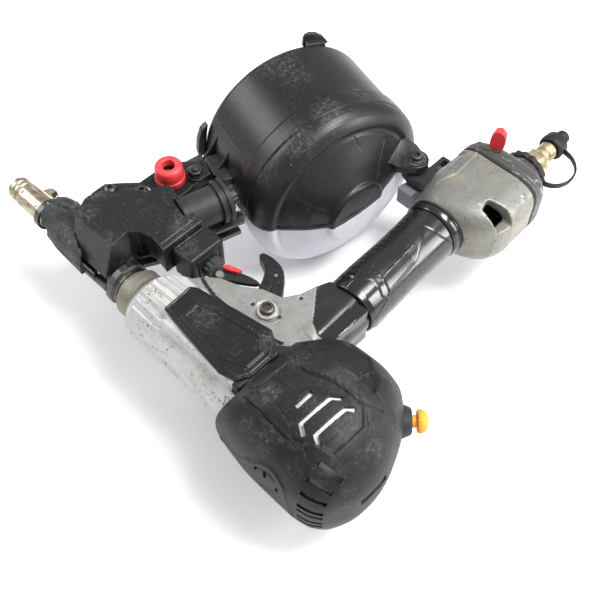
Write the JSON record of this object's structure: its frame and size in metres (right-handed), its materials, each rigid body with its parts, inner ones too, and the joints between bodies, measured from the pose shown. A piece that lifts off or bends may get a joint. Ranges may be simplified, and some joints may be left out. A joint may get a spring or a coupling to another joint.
{
  "type": "coil roofing nailer",
  "caption": "Pneumatic nail gun with a drum magazine hung between its nose and its handle, a rubber-jacketed head and an air plug at the end of the grip.",
  "frame": {"origin": "on the driver's axis, at the front face of the contact tip", "axes": "+X from the nose to the head along the driver, +Y along the handle to the air plug, +Z out of the tool's left side, which faces up as it lies down"},
  "size_m": [0.31, 0.3228, 0.1272],
  "materials": {
    "black_plastic": "moulded, scuffed",
    "black_rubber": "soft black rubber",
    "brass": "dull brass",
    "cast_aluminium": "worn silver paint over die-cast metal",
    "clear_plastic": "frosted, lets light through",
    "dark_rubber": "worn rubber",
    "dark_steel": "black oxide, rubbed at the edges",
    "gloss_plastic": "hard gloss",
    "grey_plastic": "moulded",
    "orange_plastic": "moulded orange",
    "red_plastic": "moulded red",
    "spring_steel": "drawn spring wire, bright",
    "worn_steel": "worn and stained steel"
  },
  "bodies": {
    "tool_body": {"nose_body": "worn_steel", "nose_guard": "dark_rubber", "nose_cover": "black_plastic", "front_cover_screw": "dark_steel", "rear_cover_screw": "dark_steel", "adjuster_housing": "black_plastic", "feeder_cylinder": "dark_steel", "feeder_clamp_ring": "black_plastic", "feeder_end_cap": "black_plastic", "magazine_neck": "black_plastic", "neck_bolt": "dark_steel", "spare_nose_cap": "red_plastic", "door_hinge_pin": "dark_steel", "body_casting": "cast_aluminium", "left_side_plate": "black_plastic", "right_side_plate": "black_plastic", "cylinder_sleeve": "worn_steel", "piston_bumper": "black_rubber", "cylinder_cap": "cast_aluminium", "head_protector": "dark_rubber", "duster_base": "black_rubber", "trigger_bolt": "worn_steel", "trigger_valve_body": "brass", "lock_lever_pin": "worn_steel", "grip_sleeve": "gloss_plastic", "grip_collar": "black_plastic", "end_gasket": "black_rubber", "end_cap": "cast_aluminium", "air_plug": "brass", "strap_ring": "black_rubber", "cap_strap": "black_rubber", "magazine_body": "black_plastic", "magazine_hinge_pin": "spring_steel", "tray_post": "black_plastic", "magazine_bracket": "black_plastic", "bracket_foot": "grey_plastic", "magazine_bolt": "worn_steel", "push_spring": "spring_steel", "head_valve_spring": "spring_steel", "feed_spring": "spring_steel", "plunger_spring": "spring_steel"},
    "push_arm": {"push_lever": "dark_steel"},
    "nose_tip_piece": {"contact_tip": "worn_steel"},
    "depth_dial_wheel": {"depth_dial": "black_plastic"},
    "drive_piston": {"piston": "cast_aluminium", "driver_blade": "spring_steel"},
    "head_valve_ring": {"head_valve": "black_rubber"},
    "feed_piston_and_pawl": {"feed_piston": "worn_steel"},
    "channel_door": {"nail_door": "dark_steel"},
    "channel_door_latch": {"door_latch": "dark_steel"},
    "trigger_lever": {"trigger": "dark_steel"},
    "trigger_valve_pin": {"trigger_plunger": "spring_steel"},
    "trigger_lock": {"lock_lever": "dark_steel", "lock_lever_tab": "red_plastic"},
    "selector": {"selector_lever": "red_plastic", "selector_shaft": "worn_steel"},
    "air_duster_button": {"duster_button": "orange_plastic"},
    "plug_dust_cap": {"dust_cap": "black_rubber"},
    "magazine_lid": {"magazine_cover": "clear_plastic"},
    "nail_coil_tray": {"coil_tray": "grey_plastic"}
  },
  "joints": [
    {"name": "contact_arm_push", "type": "slide", "parent": "tool_body", "child": "push_arm", "axis": [1, 0, 0], "range_m": [0, 0.012], "stiffness_N_per_m": 500, "springref_m": -0.008, "deforming": ["push_spring"]},
    {"name": "drive_depth", "type": "slide", "parent": "push_arm", "child": "nose_tip_piece", "axis": [1, 0, 0], "range_m": [0, 0.003]},
    {"name": "depth_dial_turn", "type": "hinge", "parent": "tool_body", "child": "depth_dial_wheel", "pos_m": [0.145, 0.04, 0.011], "axis": [1, 0, 0], "range_deg": [0, 360]},
    {"name": "driver_stroke", "type": "slide", "parent": "tool_body", "child": "drive_piston", "axis": [-1, 0, 0], "range_m": [0, 0.082]},
    {"name": "head_valve_lift", "type": "slide", "parent": "tool_body", "child": "head_valve_ring", "axis": [1, 0, 0], "range_m": [0, 0.004], "stiffness_N_per_m": 600, "springref_m": -0.006, "deforming": ["head_valve_spring"]},
    {"name": "feed_stroke", "type": "slide", "parent": "tool_body", "child": "feed_piston_and_pawl", "axis": [-0.2792, -0.9602, 0], "range_m": [0, 0.008], "stiffness_N_per_m": 400, "springref_m": -0.006, "deforming": ["feed_spring"]},
    {"name": "channel_door_swing", "type": "hinge", "parent": "tool_body", "child": "channel_door", "pos_m": [0.084, -0.0076, -0.0086], "axis": [-1, 0, 0], "range_deg": [0, 90]},
    {"name": "door_latch_turn", "type": "hinge", "parent": "channel_door", "child": "channel_door_latch", "pos_m": [0.078, 0.066, -0.01], "axis": [0, 0, 1], "range_deg": [0, 35], "stiffness_Nm_per_rad": 0.08, "springref_deg": -20.05},
    {"name": "trigger_pull", "type": "hinge", "parent": "tool_body", "child": "trigger_lever", "pos_m": [0.195, 0.038, 0], "axis": [0, 0, -1], "range_deg": [0, 10], "stiffness_Nm_per_rad": 1.2, "springref_deg": -14.32},
    {"name": "trigger_valve_push", "type": "slide", "parent": "tool_body", "child": "trigger_valve_pin", "axis": [1, 0, 0], "range_m": [0, 0.0032], "stiffness_N_per_m": 60, "springref_m": -0.004, "deforming": ["plunger_spring"]},
    {"name": "trigger_lock_turn", "type": "hinge", "parent": "tool_body", "child": "trigger_lock", "pos_m": [0.1536, 0.0386, 0], "axis": [0, 0, 1], "range_deg": [0, 15]},
    {"name": "selector_turn", "type": "hinge", "parent": "tool_body", "child": "selector", "pos_m": [0.2165, 0.224, 0], "axis": [0, 0, 1], "range_deg": [0, 90]},
    {"name": "duster_press", "type": "slide", "parent": "tool_body", "child": "air_duster_button", "axis": [-0.72, -0.694, 0], "range_m": [0, 0.0025], "stiffness_N_per_m": 900, "springref_m": -0.003},
    {"name": "dust_cap_pull", "type": "slide", "parent": "tool_body", "child": "plug_dust_cap", "axis": [0, 1, 0], "range_m": [0, 0.012]},
    {"name": "magazine_lid_swing", "type": "hinge", "parent": "tool_body", "child": "magazine_lid", "pos_m": [0.13217, 0.22016, -0.0001], "axis": [0.9602, -0.2792, 0], "range_deg": [0, 80]},
    {"name": "coil_tray_height", "type": "slide", "parent": "tool_body", "child": "nail_coil_tray", "axis": [0.9602, -0.2792, 0], "range_m": [0, 0.02]}
  ],
  "couplings": [
    {"joint": "depth_dial_turn", "follows": "drive_depth", "rad_per_m": 2094},
    {"joint": "trigger_valve_push", "follows": "trigger_pull", "m_per_rad": 0.018}
  ]
}
